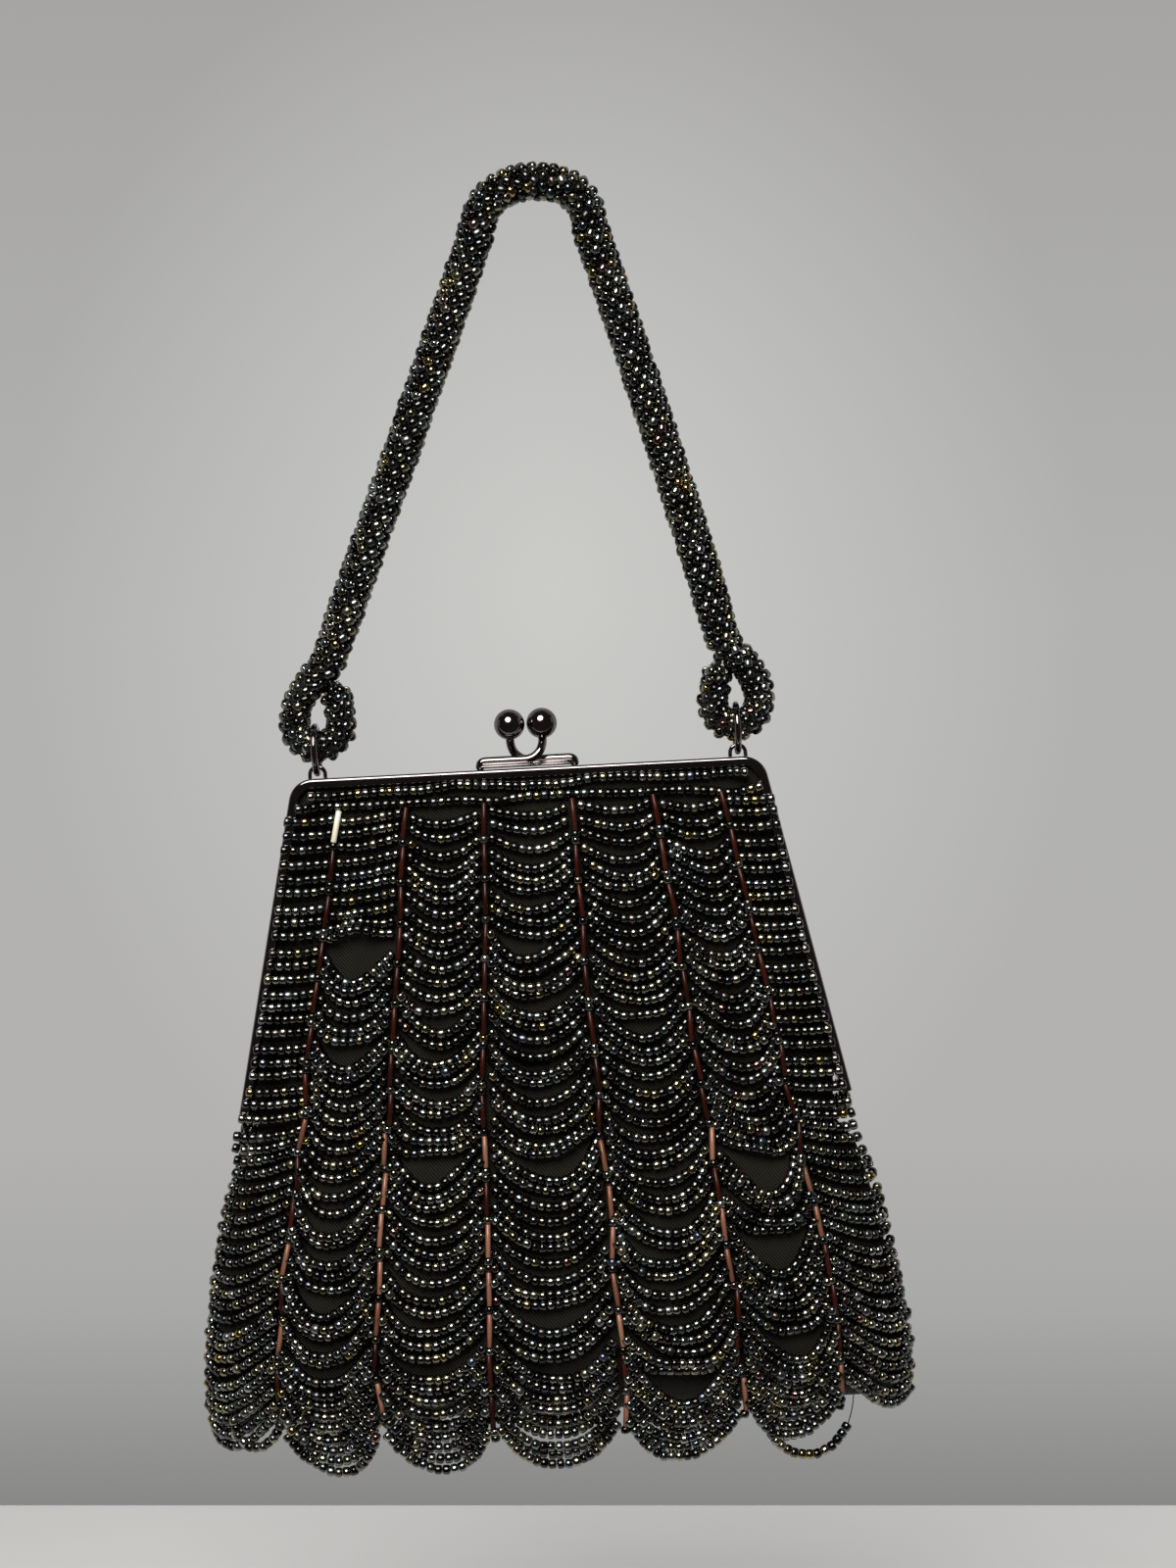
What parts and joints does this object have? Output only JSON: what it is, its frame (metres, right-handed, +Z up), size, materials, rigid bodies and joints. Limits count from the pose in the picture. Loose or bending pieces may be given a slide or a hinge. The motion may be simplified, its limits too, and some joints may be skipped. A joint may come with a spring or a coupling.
{
  "type": "beaded handbag",
  "caption": "Evening handbag with a hinged kiss-lock frame, strung seed beads and bugle columns over ribbed cloth, a scalloped hem and a bead-rope handle on rings",
  "frame": {"origin": "The underside of the handle's bend, where it rests on a hook or a hand", "axes": "+Z up, the bag hanging; +X to the wearer's right seen from the front; -Y towards the front"},
  "size_m": [0.1608, 0.034, 0.2914],
  "materials": {
    "dark_nickel": "polished black nickel plate",
    "seed_beads": "gunmetal lustre glass seed beads on thread",
    "bugle_beads": "smoky brown glass bugle beads on thread",
    "faille": "finely ribbed dark faille",
    "satin": "black satin lining",
    "cotton": "dark cotton cord and thread"
  },
  "bodies": {
    "handle": {"handle_beads": "seed_beads", "handle_core": "cotton", "handle_stitch_left": "cotton", "handle_stitch_right": "cotton"},
    "rings": {"ring_left": "dark_nickel", "ring_right": "dark_nickel"},
    "bag": {"rear_frame": "dark_nickel", "hinge_rivet_left": "dark_nickel", "hinge_rivet_right": "dark_nickel", "clasp_rear": "dark_nickel", "clasp_ball_rear": "dark_nickel", "shell_rear": "faille", "shell_front_lower": "faille", "lining_rear": "satin", "lining_front_lower": "satin", "front_fold": "seed_beads", "swags_rear_1": "seed_beads", "swags_rear_2": "seed_beads", "swags_rear_3": "seed_beads", "swags_rear_4": "seed_beads", "swags_rear_5": "seed_beads", "swags_rear_6": "seed_beads", "swags_rear_7": "seed_beads", "swags_front_lower_1": "seed_beads", "swags_front_lower_2": "seed_beads", "swags_front_lower_3": "seed_beads", "swags_front_lower_4": "seed_beads", "swags_front_lower_5": "seed_beads", "swags_front_lower_6": "seed_beads", "swags_front_lower_7": "seed_beads", "bugles_rear_1": "bugle_beads", "bugles_rear_2": "bugle_beads", "bugles_rear_3": "bugle_beads", "bugles_rear_4": "bugle_beads", "bugles_rear_5": "bugle_beads", "bugles_rear_6": "bugle_beads", "bugles_front_lower_1": "bugle_beads", "bugles_front_lower_2": "bugle_beads", "bugles_front_lower_3": "bugle_beads", "bugles_front_lower_4": "bugle_beads", "bugles_front_lower_5": "bugle_beads", "bugles_front_lower_6": "bugle_beads"},
    "front": {"front_frame": "dark_nickel", "clasp_front": "dark_nickel", "clasp_ball_front": "dark_nickel", "shell_front_upper": "faille", "lining_front_upper": "satin", "swags_front_upper_1": "seed_beads", "swags_front_upper_2": "seed_beads", "swags_front_upper_3": "seed_beads", "swags_front_upper_4": "seed_beads", "swags_front_upper_5": "seed_beads", "swags_front_upper_6": "seed_beads", "swags_front_upper_7": "seed_beads", "bugles_front_upper_1": "bugle_beads", "bugles_front_upper_2": "bugle_beads", "bugles_front_upper_3": "bugle_beads", "bugles_front_upper_4": "bugle_beads", "bugles_front_upper_5": "bugle_beads", "bugles_front_upper_6": "bugle_beads"}
  },
  "joints": [
    {"name": "ring_swing", "type": "hinge", "parent": "handle", "child": "rings", "pos_m": [-0.008, 0, -0.1218], "axis": [1, 0, 0], "range_deg": [-80, 80]},
    {"name": "bag_swing", "type": "hinge", "parent": "rings", "child": "bag", "pos_m": [-0.008, 0, -0.12775], "axis": [1, 0, 0], "range_deg": [-18, 18]},
    {"name": "frame_opening", "type": "hinge", "parent": "bag", "child": "front", "pos_m": [-0.008, -0.0012, -0.208], "axis": [1, 0, 0], "range_deg": [0, 55], "deforming": ["front_fold"]}
  ]
}
